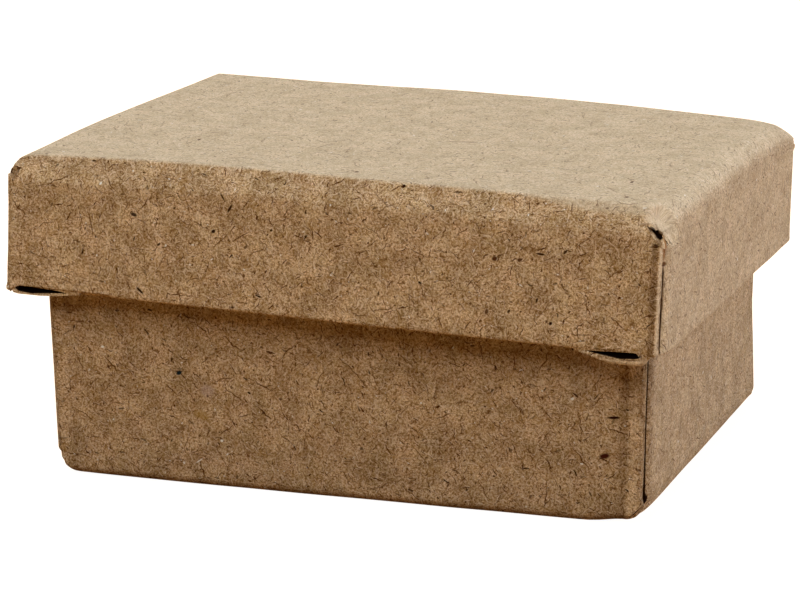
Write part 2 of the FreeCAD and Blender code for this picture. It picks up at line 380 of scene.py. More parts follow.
@dataclass(frozen=True)
class KraftFinish:
    """Uncoated recycled kraft board: a mottled ground with dark and pale fibres pressed in."""

    name: str = "kraft_board"
    ground: tuple[tuple[float, Colour], ...] = (
        (0.33, (0.172, 0.063, 0.011)),
        (0.46, (0.410, 0.226, 0.092)),
        (0.54, (0.545, 0.327, 0.155)),
        (0.67, (0.795, 0.548, 0.325)),
    )
    grain: float = 5.0
    wander: float = 0.55
    roughness: float = 0.86
    roughness_swing: float = 0.08
    specular: float = 0.08
    gloss_tint: Colour = (1.0, 0.62, 0.32)
    relief: float = 0.12
    thread_relief: float = 0.25
    # Dust and painted sheen: the colours and amounts of the pale cast over the lid's top and the
    # right ends.
    pale_dust_sheen: Colour = (0.75, 0.59, 0.40)
    deep_dust_sheen: Colour = (0.76, 0.54, 0.32)
    dust_and_sheen_under: float = 0.65
    dust_and_sheen_over: float = 0.55
    ochre: Colour = (0.350, 0.165, 0.038)
    # Painted highlight with some rubbing, painted shade, and the black of painted shade in slots and
    # cracks.
    highlight_and_rub: Colour = (0.74, 0.50, 0.30)
    painted_shade: Colour = (0.234, 0.140, 0.067)
    shadow_black: Colour = (0.006, 0.002, 0.001)
    felts: tuple[Felt, ...] = (
        Felt(1.30, 0.030, 0.45, 0.60, BARK, 17.0),
        Felt(2.60, 0.055, 0.50, 0.60, BARK, 43.0),
        Felt(1.20, 0.030, 0.50, 0.45, STRAW, 29.0),
        Felt(2.80, 0.060, 0.60, 0.50, STRAW, 61.0),
    )
    fluff: tuple[Fibres, ...] = (
        Fibres(0.66, 0.62, 0.080, 0.65, 0.85, 0.4, STRAW, 73.7),
        Fibres(1.3, 1.20, 0.090, 0.60, 0.95, 0.4, STRAW, 51.1),
        Fibres(0.62, 0.60, 0.085, 0.75, 0.95, 0.4, BARK, 91.3),
    )
    fibres: tuple[Fibres, ...] = (
        Fibres(1.20, 1.15, 0.095, 0.70, 1.00, 0.4, UMBER, 11.7),
        Fibres(2.9, 2.7, 0.108, 0.70, 1.00, 0.25, (0.105, 0.029, 0.003), 3.1),
        Fibres(0.85, 0.32, 0.130, 0.65, 1.00, 0.3, UMBER, 37.3),
        Fibres(2.3, 0.60, 0.180, 0.50, 1.00, 0.3, (0.034, 0.008, 0.001), 23.9),
        Fibres(3.6, 0.26, 0.180, 0.50, 1.00, 0.0, CHALK, 67.0),
        Fibres(1.5, 0.14, 0.110, 0.40, 0.90, 0.0, CHALK, 83.0),
    )
    tray_flecks: tuple[Fleck, ...] = (
        Fleck(24.55, -29.27, 1.2, 0.27, -5.0, 1.0, (0.024, 0.003, 0.001)),
        Fleck(23.76, -25.84, 1.05, 0.5, -15.0, 1.0, (0.055, 0.008, 0.002)),
        Fleck(-15.12, -30.12, 0.62, 0.44, -30.0, 1.0, (0.006, 0.014, 0.016)),
        Fleck(-13.41, -22.19, 0.85, 0.12, -35.0, 0.9, CHALK),
        Fleck(-22.46, -31.95, 0.34, 0.24, 0.0, 1.0, CHALK),
        Fleck(-11.2, -24.22, 0.3, 0.24, 0.0, 1.0, CHALK),
        Fleck(-13.09, -26.44, 1.7, 1.0, 20.0, 0.5, (0.42, 0.21, 0.04)),
        Fleck(-12.45, -28.69, 1.5, 1.1, 0.0, 0.4, (0.42, 0.28, 0.23)),
        Fleck(23.75, -28.9, 2.9, 0.09, 75.0, 0.8, STRAW, 0.18),
        Fleck(24.4, -24.1, 1.25, 0.1, -35.0, 0.9, UMBER, 0.3),
        Fleck(27.27, -22.11, 1.5, 0.5, 82.0, 1.0, (0.016, 0.003, 0.001)),
    )
    lid_flecks: tuple[Fleck, ...] = (
        Fleck(-17.05, -32.99, 0.95, 0.25, -40.0, 1.0, (0.03, 0.011, 0.004)),
        Fleck(-17.74, -26.34, 0.7, 0.36, -15.0, 0.95, (0.03, 0.011, 0.004)),
        Fleck(-21.8, -27.6, 2.0, 0.1, -77.0, 0.9, UMBER, 0.06),
        Fleck(-8.71, -25.0, 0.95, 0.24, 61.0, 1.0, (0.04, 0.012, 0.002)),
        Fleck(-9.41, -24.07, 0.9, 0.17, -56.0, 0.95, (0.04, 0.012, 0.002)),
        Fleck(-10.2, -27.12, 0.46, 0.34, 35.0, 1.0, (0.025, 0.008, 0.002)),
        Fleck(-7.63, -27.32, 2.2, 0.1, 32.0, 0.9, UMBER, 0.04),
        Fleck(-4.84, -26.54, 0.26, 0.24, 0.0, 0.95, (0.03, 0.01, 0.002)),
        Fleck(-1.01, -26.54, 1.1, 0.12, -80.0, 0.95, UMBER, 0.3),
        Fleck(-0.47, -26.49, 0.9, 0.14, -35.0, 0.9, UMBER, 0.4),
        Fleck(15.29, -27.05, 0.55, 0.42, 20.0, 0.95, (0.06, 0.012, 0.001)),
        Fleck(19.27, -26.29, 0.85, 0.2, -3.0, 1.0, (0.035, 0.01, 0.002)),
        Fleck(17.47, -26.96, 0.45, 0.34, 20.0, 0.9, (0.07, 0.016, 0.002)),
        Fleck(8.76, -29.73, 0.34, 0.22, -30.0, 1.0, (0.02, 0.006, 0.001)),
        Fleck(20.39, -32.03, 0.36, 0.28, 50.0, 1.0, (0.022, 0.006, 0.001)),
        Fleck(14.77, -31.59, 0.5, 0.36, 80.0, 0.9, (0.08, 0.02, 0.002)),
        Fleck(24.2, -13.04, 0.3, 0.8, 0.0, 0.9, UMBER),
        Fleck(-16.62, -11.2, 0.28, 0.7, 0.0, 0.95, UMBER),
        Fleck(1.45, -18.77, 0.4, 0.6, 0.0, 0.9, UMBER),
        Fleck(5.57, -2.94, 3.2, 0.3, 14.0, 0.6, BARK, 0.05),
        Fleck(25.49, -19.04, 0.35, 0.6, 0.0, 0.9, UMBER),
        Fleck(6.72, -21.42, 0.34, 0.28, 0.0, 1.0, (0.03, 0.008, 0.002)),
        # Painted shade: a near-black patch that widens the right corner's hole.
        Fleck(28.75, -23.43, 0.95, 0.42, -45.0, 1.0, (0.012, 0.002, 0.001)),
        Fleck(28.93, -23.91, 0.9, 0.12, -28.0, 0.8, CHALK),
        Fleck(29.82, -26.19, 0.62, 0.4, -60.0, 0.95, (0.11, 0.028, 0.005)),
        # Painted shadow of the crease that runs down from the right corner's hole.
        Fleck(29.1, -24.64, 0.45, 0.26, -20.0, 0.8, (0.06, 0.016, 0.003)),
        Fleck(32.5, -22.6, 2.6, 0.5, 0.0, 0.85, (0.33, 0.13, 0.035)),
        Fleck(34.0, -22.6, 0.45, 0.7, 0.0, 0.9, (0.12, 0.032, 0.006)),
        Fleck(27.3, -34.42, 1.9, 0.09, 3.0, 0.85, UMBER),
    )

    def material(self) -> bpy.types.Material:
        """Make the board's material, layer on layer, on the flat sheet's own map.

        Returns:
            The finished material.
        """
        board = bpy.data.materials.new(self.name)
        net = Net(board)
        sheet = net.node("UVMap", {"uv_map": SHEET_UV}).outputs["UV"]
        wander = net.noise(sheet, 1.1, detail=2.0).outputs["Color"]
        drift = net.vector("MULTIPLY_ADD", wander, (self.wander, self.wander, 0.0), sheet)
        grain = net.noise(sheet, self.grain, detail=6.0, roughness=0.78).outputs["Fac"]
        colour = self.stain(net, sheet, net.stops(grain, self.ground))
        height = grain
        for layer in (*self.felts, *self.fluff):
            mask = layer.mask(net, drift)
            colour = net.mix(mask, colour, layer.colour)
            if isinstance(layer, Felt):
                height = net.maths("MULTIPLY_ADD", mask, self.thread_relief, height)
        # Dust and painted sheen fade the lid's top and the right ends, under and over the fibres.
        dust_and_sheen = net.node("Attribute", {"attribute_name": DUST_AND_SHEEN}).outputs["Fac"]
        colour = self.dusted_and_sheened(net, net.maths("MULTIPLY", dust_and_sheen, self.dust_and_sheen_under), colour)
        for layer in self.fibres:
            colour = net.mix(layer.mask(net, drift), colour, layer.colour)
        colour = self.dusted_and_sheened(net, net.maths("MULTIPLY", dust_and_sheen, self.dust_and_sheen_over), colour)
        for shift, flecks in ((0.0, self.tray_flecks), (LID_SHEET, self.lid_flecks)):
            for fleck in flecks:
                colour = net.mix(fleck.mask(net, sheet, shift), colour, fleck.colour)
        # Painted highlight and shade from the mesh, with one rubbed corner.
        colour = self.paint_light_and_wear(net, colour)
        bump = net.node("Bump", Strength=1.0, Distance=self.relief * MM, Height=height)
        gloss = net.ease(grain, 0.3, 0.7, self.roughness + self.roughness_swing,
                         self.roughness - self.roughness_swing)
        shader = net.node("BsdfPrincipled", Base_Color=colour, Roughness=gloss,
                          Normal=bump.outputs["Normal"])
        shader.inputs["Specular IOR Level"].default_value = self.specular
        shader.inputs["Specular Tint"].default_value = (*self.gloss_tint, 1.0)
        net.node("OutputMaterial", Surface=shader.outputs[0])
        return board

    def dusted_and_sheened(self, net: Net, share: Socket, colour: Socket) -> Socket:
        """Fade a colour towards dust and painted sheen, a warmer one where the board is dark.

        Args:
            net: The material's nodes.
            share: How much dust and painted sheen lies on each place.
            colour: The clean board's colour.

        Returns:
            The faded colour.
        """
        light = net.ease(net.node("RGBToBW", Color=colour).outputs[0], 0.12, 0.50)
        return net.mix(share, colour, net.mix(light, self.deep_dust_sheen, self.pale_dust_sheen))

    def stain(self, net: Net, sheet: Socket, colour: Socket) -> Socket:
        """Cloud the ground: light and dark patches, and patches that lean to pink, grey or ochre.

        Args:
            net: The material's nodes.
            sheet: The place on the sheet.
            colour: The even ground's colour.

        Returns:
            The clouded colour.
        """
        cloud = net.noise(sheet, 0.34, detail=4.0, roughness=0.62, shift=7.0).outputs["Fac"]
        shade = net.ease(cloud, 0.30, 0.70, 0.78, 1.22)
        lean = net.noise(sheet, 0.42, detail=2.0, roughness=0.6, shift=19.0).outputs["Color"]
        tints = net.node("SeparateColor", Color=lean).outputs
        red = net.maths("MULTIPLY", shade, net.ease(tints["Red"], 0.3, 0.7, 0.98, 1.02))
        blue = net.maths("MULTIPLY", shade, net.ease(tints["Blue"], 0.3, 0.7, 0.97, 1.03))
        # Darker clouds are warmer ones: green and blue fall faster than red.
        green = net.maths("POWER", shade, 1.12)
        blue = net.maths("MULTIPLY", blue, net.maths("POWER", shade, 0.35))
        cast = net.node("CombineColor", Red=red, Green=green, Blue=blue).outputs[0]
        colour = net.mix(1.0, colour, cast, "MULTIPLY")
        patch = net.noise(sheet, 0.75, detail=3.0, roughness=0.6, shift=31.0).outputs["Fac"]
        return net.mix(net.ease(patch, 0.54, 0.70, 0.0, 0.34), colour, self.ochre)

    def paint_light_and_wear(self, net: Net, colour: Socket) -> Socket:
        """Lay painted highlight and rubbing, painted shade, and black painted shade in slots and
        cracks, by the mesh's painted light and wear.

        Args:
            net: The material's nodes.
            colour: The fresh board's colour.

        Returns:
            The colour with painted light, shade and wear.
        """
        painted_light_and_wear = net.node("Attribute", {"attribute_name": PAINTED_LIGHT_AND_WEAR}).outputs["Fac"]
        # Above 0: painted highlight and rubbing, towards a pale colour.
        highlight_and_rub = net.maths("MULTIPLY", net.maths("MAXIMUM", painted_light_and_wear, 0.0), 0.8)
        # Below 0: painted shade, multiplied in, and in the deepest places a black painted shade.
        depth = net.maths("MAXIMUM", net.maths("MULTIPLY", painted_light_and_wear, -1.0), 0.0)
        shaded = net.maths("MINIMUM", net.maths("MULTIPLY", depth, 1.6), 1.0)
        black = net.maths("MAXIMUM", net.maths("MULTIPLY_ADD", depth, 2.0, -1.0), 0.0)
        colour = net.mix(highlight_and_rub, colour, self.highlight_and_rub)
        colour = net.mix(shaded, colour, self.painted_shade, "MULTIPLY")
        return net.mix(black, colour, self.shadow_black)


# ---- Folded halves ----

def smooth(value: Array, low: float, high: float) -> Array:
    """Ease from 0 at low to 1 at high."""
    share = np.clip((value - low) / (high - low), 0.0, 1.0)
    return share * share * (3.0 - 2.0 * share)


def bell(distance: Array, width: float) -> Array:
    """A round hump, 1 at no distance."""
    return np.exp(-(distance / width) ** 2)


def hump(value: Array, start: float, stop: float, soft: float) -> Array:
    """1 between start and stop, easing to 0 over the soft distance on each side."""
    return smooth(value, start - soft, start) * (1.0 - smooth(value, stop, stop + soft))


def pinch(moved: Array, where: Array, centre: tuple[float, float], reach: float,
          grain: float, along: float, across: float, slide: tuple[float, float] = (0.0, 0.0)) -> None:
    """Gather a wall round a place, more one way than the other.

    Args:
        moved: The places, changed in place.
        where: How much each place takes part.
        centre: The middle, as x and s.
        reach: Distance at which nothing moves any more.
        grain: The long way of what is left open, in degrees from x towards s.
        along: How much is left the long way.
        across: How much is left the other way.
        slide: How far the middle itself moves, as x and s.
    """
    off_x, off_s = moved[:, 0] - centre[0], moved[:, 2] - centre[1]
    share = where * (1.0 - smooth(np.hypot(off_x, off_s), 0.6 * reach, reach))
    turn = math.radians(grain)
    far = off_x * math.cos(turn) + off_s * math.sin(turn)
    wide = off_s * math.cos(turn) - off_x * math.sin(turn)
    far, wide = (along - 1.0) * far, (across - 1.0) * wide
    moved[:, 0] += share * (far * math.cos(turn) - wide * math.sin(turn) + slide[0])
    moved[:, 2] += share * (far * math.sin(turn) + wide * math.cos(turn) + slide[1])


@dataclass
class FoldedHalf(ABC):
    """One half of the box, measured as it stands with its floor down and its rim up.

    Local places are x along the long walls, y across them with the front negative, and s from the
    floor's outside towards the rim. The long walls' panels lap the ends and stop seam_inset short
    of the ends' outside, and a slot of seam_gap stays open there.
    """

    half: Half
    length: float
    depth: float
    flare: float
    height: float
    end_lean: float
    end_fold: float
    long_fold: float
    seam_inset: float
    seam_gap: float = 0.15
    lip: float = 1.2
    sheet_shift: float = 0.0
    net_step: float = 0.9
    corner_step: float = 0.3
    corner_reach: float = 3.6
    rim_reach: float = 2.4
    wave_height: float = 0.03
    wave_turns: float = 0.16

    def placement(self) -> Matrix:
        """Where the half's own frame sits, in millimetres."""
        return Matrix.Identity(4)

    def panel_end(self, s: Array) -> Array:
        """How far from the middle the long walls' panels end, at each height."""
        return self.length / 2 - self.end_lean * (1.0 - s / self.height) - self.seam_inset

    def wall(self, s: Array) -> Array:
        """How far from the middle the long walls' outside stands, at each height."""
        return self.depth / 2 + 0.5 * self.flare * s / self.height

    def cuts(self, reach: float) -> list[float]:
        """Place the cutting planes along one axis, close together near both ends.

        Args:
            reach: How far the half goes either way.

        Returns:
            The planes' places.
        """
        inner = np.arange(-reach + self.corner_reach, reach - self.corner_reach, self.net_step)
        outer = np.arange(reach - self.corner_reach, reach, self.corner_step)
        return [*(-outer[::-1]), *inner, *outer]

    def level_cuts(self) -> list[float]:
        """Place the level cutting planes, close together near the floor and the rim.

        Returns:
            The planes' heights.
        """
        rim = self.height - self.rim_reach
        low = np.arange(self.corner_step, self.corner_reach, self.corner_step)
        middle = np.arange(self.corner_reach, rim, self.net_step)
        high = np.arange(rim, self.height + self.lip, self.corner_step)
        return [*low, *middle, *high]

    def netted(self) -> bmesh.types.BMesh:
        """Copy the node's solid, weld it, and cut it into a net of small faces.

        Returns:
            The new mesh, in metres, in the object's frame.
        """
        mesh = bmesh.new()
        mesh.from_mesh(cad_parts[self.half.value].data)
        bmesh.ops.remove_doubles(mesh, verts=mesh.verts[:], dist=WELD)
        bmesh.ops.dissolve_limit(mesh, angle_limit=FLAT_ANGLE, verts=mesh.verts[:],
                                 edges=mesh.edges[:])
        place = self.placement()
        planes = [(Vector((1, 0, 0)), spot) for spot in self.cuts(self.length / 2)]
        planes += [(Vector((0, 1, 0)), spot) for spot in self.cuts((self.depth + self.flare) / 2)]
        planes += [(Vector((0, 0, 1)), spot) for spot in self.level_cuts()]
        for normal, spot in planes:
            bmesh.ops.bisect_plane(mesh, geom=[*mesh.verts, *mesh.edges, *mesh.faces], dist=WELD,
                                   plane_co=(place @ (normal * spot)) * MM,
                                   plane_no=place.to_3x3() @ normal)
        return mesh

    def unfold(self, spot: Vector, normal: Vector) -> tuple[float, float]:
        """Find where a place on the half lies on the flat sheet, in millimetres.

        Args:
            spot: A place in the half's own frame.
            normal: The way its face looks, in the same frame.

        Returns:
            The place on the sheet, with the middle of the floor at zero.
        """
        on_end = abs(normal.x) > max(abs(normal.y), WALL_LEAN)
        on_long = not on_end and (abs(normal.y) > WALL_LEAN or spot.z > self.long_fold)
        u = self.run(spot.x, spot.z, self.length / 2, self.end_fold) if on_end else spot.x
        v = self.run(spot.y, spot.z, self.depth / 2, self.long_fold) if on_long else spot.y
        if on_end and spot.z > self.end_fold:
            v += math.copysign(max(self.length / 2 - abs(spot.x), 0.0), spot.y)
        return u + self.sheet_shift, v

    @staticmethod
    def run(across: float, along: float, edge: float, fold: float) -> float:
        """Measure from the middle of the floor, over a fold and up a wall.

        Args:
            across: The place's distance from the middle, signed.
            along: Its height.
            edge: The wall's distance from the middle.
            fold: The fold's radius.

        Returns:
            The distance along the board, signed.
        """
        side = math.copysign(1.0, across)
        out = abs(across) - (edge - fold)
        if out <= 0.0 and along < fold:
            return across
        if along >= fold:
            return side * (edge - fold + fold * math.pi / 2 + along - fold)
        return side * (edge - fold + fold * math.atan2(out, fold - along))

    @abstractmethod
    def painted_light_and_wear(self, spots: Array) -> Array:
        """How much painted light and rubbing (above 0) or painted shade (below 0) each place has."""

    @abstractmethod
    def dust_and_sheen(self, spots: Array) -> Array:
        """How much dust and painted sheen each place has."""

    def shape(self, spots: Array) -> Array:
        """Push the half out of true: the board is never quite flat.

        Args:
            spots: Places in the half's own frame.

        Returns:
            The same places, moved.
        """
        moved = spots.copy()
        for axis, seed in enumerate((11.0, 23.0, 37.0)):
            start = Vector((seed, seed, seed))
            waves = [noise.noise(Vector(spot) * self.wave_turns + start) for spot in spots]
            moved[:, axis] += self.wave_height * np.array(waves)
        return moved

    def narrow_seams(self, moved: Array, spots: Array, left: Array,
                     outer: Array) -> None:
        """Close the slots along the lapped ends, more or less.

        Args:
            moved: The places, changed in place.
            spots: Where they were at first.
            left: The share of the slot that stays open at each place.
            outer: How much each place belongs to the long walls' outside.
        """
        x = np.abs(spots[:, 0])
        off = x - (self.panel_end(spots[:, 2]) + self.seam_gap / 2)
        share = outer * (1.0 - smooth(np.abs(off), 0.08, 0.26))
        moved[:, 0] += np.sign(spots[:, 0]) * share * (left - 1.0) * off

    def build(self, finish: bpy.types.Material) -> bpy.types.Object:
        """Make the piece, dress it and put it on its body.

        Args:
            finish: The board's material.

        Returns:
            The piece that stands for the half's node.
        """
        mesh = self.netted()
        place = self.placement()
        back = place.inverted()
        turn = back.to_3x3()
        spots = np.array([back @ (vert.co / MM) for vert in mesh.verts])
        settled = [Vector(spot) for spot in self.shape(spots)]
        sheet = mesh.loops.layers.uv.new(SHEET_UV)
        for face in mesh.faces:
            normal = turn @ face.normal
            for loop in face.loops:
                loop[sheet].uv = self.unfold(settled[loop.vert.index], normal)
        paints = {PAINTED_LIGHT_AND_WEAR: self.painted_light_and_wear(spots), DUST_AND_SHEEN: self.dust_and_sheen(spots)}
        for vert, spot in zip(mesh.verts, settled):
            spot = (place @ spot) * MM
            vert.co = [min(max(value, low), high) for value, low, high in zip(spot, *CAD_BOX)]
        data = bpy.data.meshes.new(f"{self.half.value}_shell")
        mesh.to_mesh(data)
        mesh.free()
        for name, paint in paints.items():
            layer = data.attributes.new(name, "FLOAT", "POINT").data
            layer.foreach_set("value", paint.astype(np.float32))
        data.shade_smooth()
        data.set_sharp_from_angle(angle=SHARP_ANGLE)
        data.materials.append(finish)
        piece = bpy.data.objects.new(f"{self.half.value}_shell", data)
        bpy.context.scene.collection.objects.link(piece)
        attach(piece, self.half.value)
        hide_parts(self.half.value)
        LOG.info("%s: %d faces", piece.name, len(data.polygons))
        return piece


@dataclass
class Tray(FoldedHalf):
    """The deeper half, which stands on the floor; its ends lean out towards the rim.

    hole is the punched hole in each front corner, as x and s, and end_band is the x over which the
    right end wall begins.
    """

    half: Half = Half.TRAY
    length: float = 56.35
    depth: float = 40.4
    flare: float = 0.0
    height: float = 27.7
    end_lean: float = 0.675
    end_fold: float = 2.5
    long_fold: float = 0.9
    seam_inset: float = 0.55
    hole: tuple[float, float] = (26.8, 1.7)
    end_band: tuple[float, float] = (27.3, 27.7)

    def shape(self, spots: Array) -> Array:
        """Push the tray out of true: its right end stands straighter than it was folded.

        Args:
            spots: Places in the half's own frame.

        Returns:
            The same places, moved.
        """
        moved = super().shape(spots)
        x, y, s = spots.T
        face = self.depth / 2
        back_right = smooth(x, 0.0, self.length / 2) * smooth(y, -20.0, 20.0)
        moved[:, 0] += back_right * np.interp(s, [0.0, 2.0, 4.0, 6.8, 8.7, 10.6],
                                              [0.12, 0.12, 0.0, -0.14, -0.26, -0.36])
        # The front corners don't quite reach the floor.
        from_left = np.hypot(x + 28.0, y + face)
        from_right = np.hypot(x - 26.0, y + face)
        lift = 0.12 * bell(from_left, 9.0) + 0.16 * smooth(x, 22.0, 25.0)
        lift += 0.26 * bell(from_right, 2.6) + 0.20 * bell(from_left, 2.0)
        moved[:, 2] += lift * (1.0 - smooth(s, 0.0, 6.0))
        # The long walls stand proud where they lap the ends.
        outer = smooth(np.abs(y), face - 1.7, face - 0.7)
        past_slot = np.abs(x) - self.panel_end(s) - self.seam_gap / 2
        moved[:, 1] += np.sign(y) * outer * (0.17 * smooth(past_slot, -2.4, -1.1) - 0.10)
        left = np.interp(s, [0.0, 2.8, 4.2, 9.0, self.height], [1.6, 1.6, 1.0, 0.72, 0.65])
        self.narrow_seams(moved, spots, left, outer)
        # The corner holes are crushed nearly shut.
        front = smooth(-y, face - 1.7, face - 1.2)
        hole_x, hole_s = self.hole
        pinch(moved, front * (x < 0.0), (-hole_x, hole_s), reach=0.9, grain=0.0, along=0.1,
              across=0.1)
        pinch(moved, front * (x > 0.0), (hole_x, hole_s), reach=1.0, grain=0.0, along=0.1,
              across=0.1, slide=(0.25, 0.25))
        moved[:, 2] = np.maximum(moved[:, 2], 0.0)
        return moved

    def dust_and_sheen(self, spots: Array) -> Array:
        """Fade the right end, with dust and painted sheen."""
        return 0.15 * smooth(spots[:, 0], *self.end_band)

    def painted_light_and_wear(self, spots: Array) -> Array:
        """Paint shade and light beside the lapped ends, and paint shade into the slots, over the
        panels and on the right end.

        Args:
            spots: Places in the half's own frame.

        Returns:
            How much painted light (above 0) or painted shade (below 0) each place has, from -1 to 1.
        """
        x, y, s = spots.T
        out = np.abs(y) - self.wall(s)
        past_end = np.abs(x) - self.panel_end(s)
        on_panel = smooth(out, -0.6, -0.2)
        side = np.where(x > 0.0, 1.0, 0.35)
        # Painted shade and highlight where the panels swell over the lapped ends: dark bands on
        # either side of a pale one, stronger on the right.
        dark = 0.16 * hump(past_end, -1.80, -1.55, 0.55) + 0.12 * smooth(past_end, -0.35, -0.15)
        pale = 0.22 * hump(past_end, -1.1, -0.6, 0.3)
        painted_light_and_wear = on_panel * side * (pale - dark)
        # Painted shade in the slot past each panel's end.
        painted_light_and_wear -= 0.28 * side * smooth(past_end, 0.0, 0.15) * smooth(out, -1.8, -0.2)
        # Painted shade along the panels' lowest edge.
        painted_light_and_wear -= 0.25 * on_panel * (1.0 - smooth(s, 0.2, 0.8))
        # Painted shade: the slots behind the lapped ends are painted black.
        deep = (1.0 - smooth(out, -0.75, -0.55)) * smooth(out, -1.2, -0.9)
        painted_light_and_wear -= 0.75 * deep * smooth(past_end, -1.3, -1.1) * (1.0 - smooth(past_end, 0.12, 0.18))
        # Painted shade over the panels, darker towards the bottom.
        painted_light_and_wear -= on_panel * (0.10 + 0.04 * (1.0 - smooth(s, 0.0, 9.0)))
        # Painted shade: the right end is a little darker.
        painted_light_and_wear -= 0.05 * smooth(x, *self.end_band)
        return np.clip(painted_light_and_wear, -1.0, 1.0)


@dataclass
class Lid(FoldedHalf):
    """The shallow half, set down a little askew on the tray.

    The corner holes lie hole_inset from the ends and hole_depth from the top. The facet on the
    front's fold looks facet_lean degrees up from level, facet_reach from the fold's middle.
    """

    half: Half = Half.LID
    length: float = 60.35
    depth: float = 45.0
    flare: float = 1.2
    height: float = 12.5
    end_lean: float = 0.0
    end_fold: float = 2.1
    long_fold: float = 2.3
    seam_inset: float = 0.32
    sheet_shift: float = LID_SHEET
    tilt: float = math.radians(1.7)
    turn: float = math.radians(-0.95)
    top_place: Place = (0.24, 0.03, 29.129)
    corner_step: float = 0.25
    hole_inset: float = 0.77
    hole_depth: float = 1.5
    rim_round: float = 0.5
    facet_lean: float = 31.0
    facet_reach: float = 1.99
    facet_share: float = 0.8
    facet_soft: float = 0.03

    def placement(self) -> Matrix:
        """Where the lid's own frame sits: its top is s = 0, and s runs down to the rim."""
        turned = Matrix.Rotation(self.turn, 4, "Z") @ Matrix.Rotation(self.tilt, 4, "Y")
        return Matrix.Translation(self.top_place) @ turned @ Matrix.Diagonal((1.0, 1.0, -1.0, 1.0))

    def shape(self, spots: Array) -> Array:
        """Push the lid out of true, from its large bends to its small pinches.

        Args:
            spots: Places in the half's own frame.

        Returns:
            The same places, moved.
        """
        moved = super().shape(spots)
        front = smooth(-spots[:, 1], self.depth / 2 - 2.6, self.depth / 2 - 2.2)
        self.droop(moved, spots)
        self.shape_ends(moved, spots)
        self.pinch_corners(moved, spots, front)
        self.shape_lips(moved, spots, front)
        self.sharpen_rim(moved, spots)
        self.flatten_fold(moved, spots)
        return moved

    def droop(self, moved: Array, spots: Array) -> None:
        """Bow the top, with two drooping corners and one that lifts, and bend the rim a little.

        Args:
            moved: The places, changed in place.
            spots: Where they were at first.
        """
        x, y, s = spots.T
        half_x, half_y = self.length / 2, self.depth / 2
        upper = 1.0 - smooth(s, 0.0, 0.8 * self.height)
        lower = smooth(s, 8.0, 12.0)
        front_left = np.hypot(x + half_x, y + half_y)
        back_right = np.hypot(x - half_x, y - half_y)
        back_left = np.hypot(x + half_x, y - half_y)
        droop = 0.52 * bell(front_left, 11.0) + 0.08 * bell(front_left, 2.2)
        droop += 0.16 * bell(back_right, 9.0) + 0.80 * bell(back_right, 2.6)
        droop -= 0.09 * bell(back_left, 16.0) + 0.15 * bell(x + 4.0, 12.0) * smooth(y, -5.0, 20.0)
        droop -= 0.22 * smooth(x, -18.0, 8.0) * smooth(y, -16.0, 14.0)
        droop += 0.28 * smooth(x, 8.0, 27.0) * smooth(y, 0.0, 20.0)
        moved[:, 2] += upper * (0.09 + droop)
        moved[:, 0] += 0.06 * bell(back_right, 8.0) * upper
        moved[:, 0] += 0.18 * bell(back_right, 3.0) * hump(s, 0.8, 2.0, 0.6)
        moved[:, 2] -= 0.16 * bell(back_right, 4.0) * lower
        moved[:, 2] -= 0.25 * hump(y, 8.0, 18.0, 8.0) * smooth(x, 18.0, 29.0) * lower
        rim_corner = np.hypot(x + half_x, y + half_y + 0.6)
        moved[:, 2] += 0.35 * bell(rim_corner, 1.3) * smooth(s, 11.5, 12.5)

    def shape_ends(self, moved: Array, spots: Array) -> None:
        """Let the long walls stand proud where they lap the ends, and close the slots there.

        Args:
            moved: The places, changed in place.
            spots: Where they were at first.
        """
        x, y, s = spots.T
        half_x, half_y = self.length / 2, self.depth / 2
        outer = smooth(np.abs(y), half_y - 1.5, half_y - 0.3)
        swell = smooth(np.abs(x) - self.panel_end(s), -1.5, -0.5)
        moved[:, 1] += np.sign(y) * outer * 0.16 * (swell - 1.0)
        left = np.where(x > 0.0, np.interp(s, [0.9, 1.2, 4.7, 5.1], [1.0, 0.05, 0.05, 0.36]),
                        np.interp(s, [3.4, 3.9, 9.0, 10.5], [0.02, 0.5, 0.5, 0.05]))
        self.narrow_seams(moved, spots, left, outer)
        # The front wall's right end is drawn in a little way, slot and all.
        end = half_x - self.seam_inset
        slot_end = end + self.seam_gap / 2 + 0.1
        drawn_in = np.interp(x, [27.8, end, slot_end, half_x], [0.0, 1.0, 1.0, 0.0])
        moved[:, 0] -= 0.34 * outer * (y < 0.0) * drawn_in

    def pinch_corners(self, moved: Array, spots: Array, front: Array) -> None:
        """Drag the right corner's hole down and squeeze it; crush the left one shut.

        Args:
            moved: The places, changed in place.
            spots: Where they were at first.
            front: How much each place belongs to the front wall.
        """
        half_x, half_y = self.length / 2, self.depth / 2
        hole_x, right = half_x - self.hole_inset, front * (spots[:, 0] > 0.0)
        pinch(moved, right, (hole_x, self.hole_depth), reach=1.7, grain=40.0, along=1.45,
              across=0.58, slide=(-0.22, 0.80))
        pinch(moved, right, (half_x - 0.55, 2.68), reach=0.6, grain=40.0, along=1.0, across=0.45)
        left = smooth(-spots[:, 1], half_y - 1.1, half_y - 0.75) * (spots[:, 0] < 0.0)
        pinch(moved, left, (-hole_x, self.hole_depth), reach=0.8, grain=0.0, along=0.05,
              across=0.05)

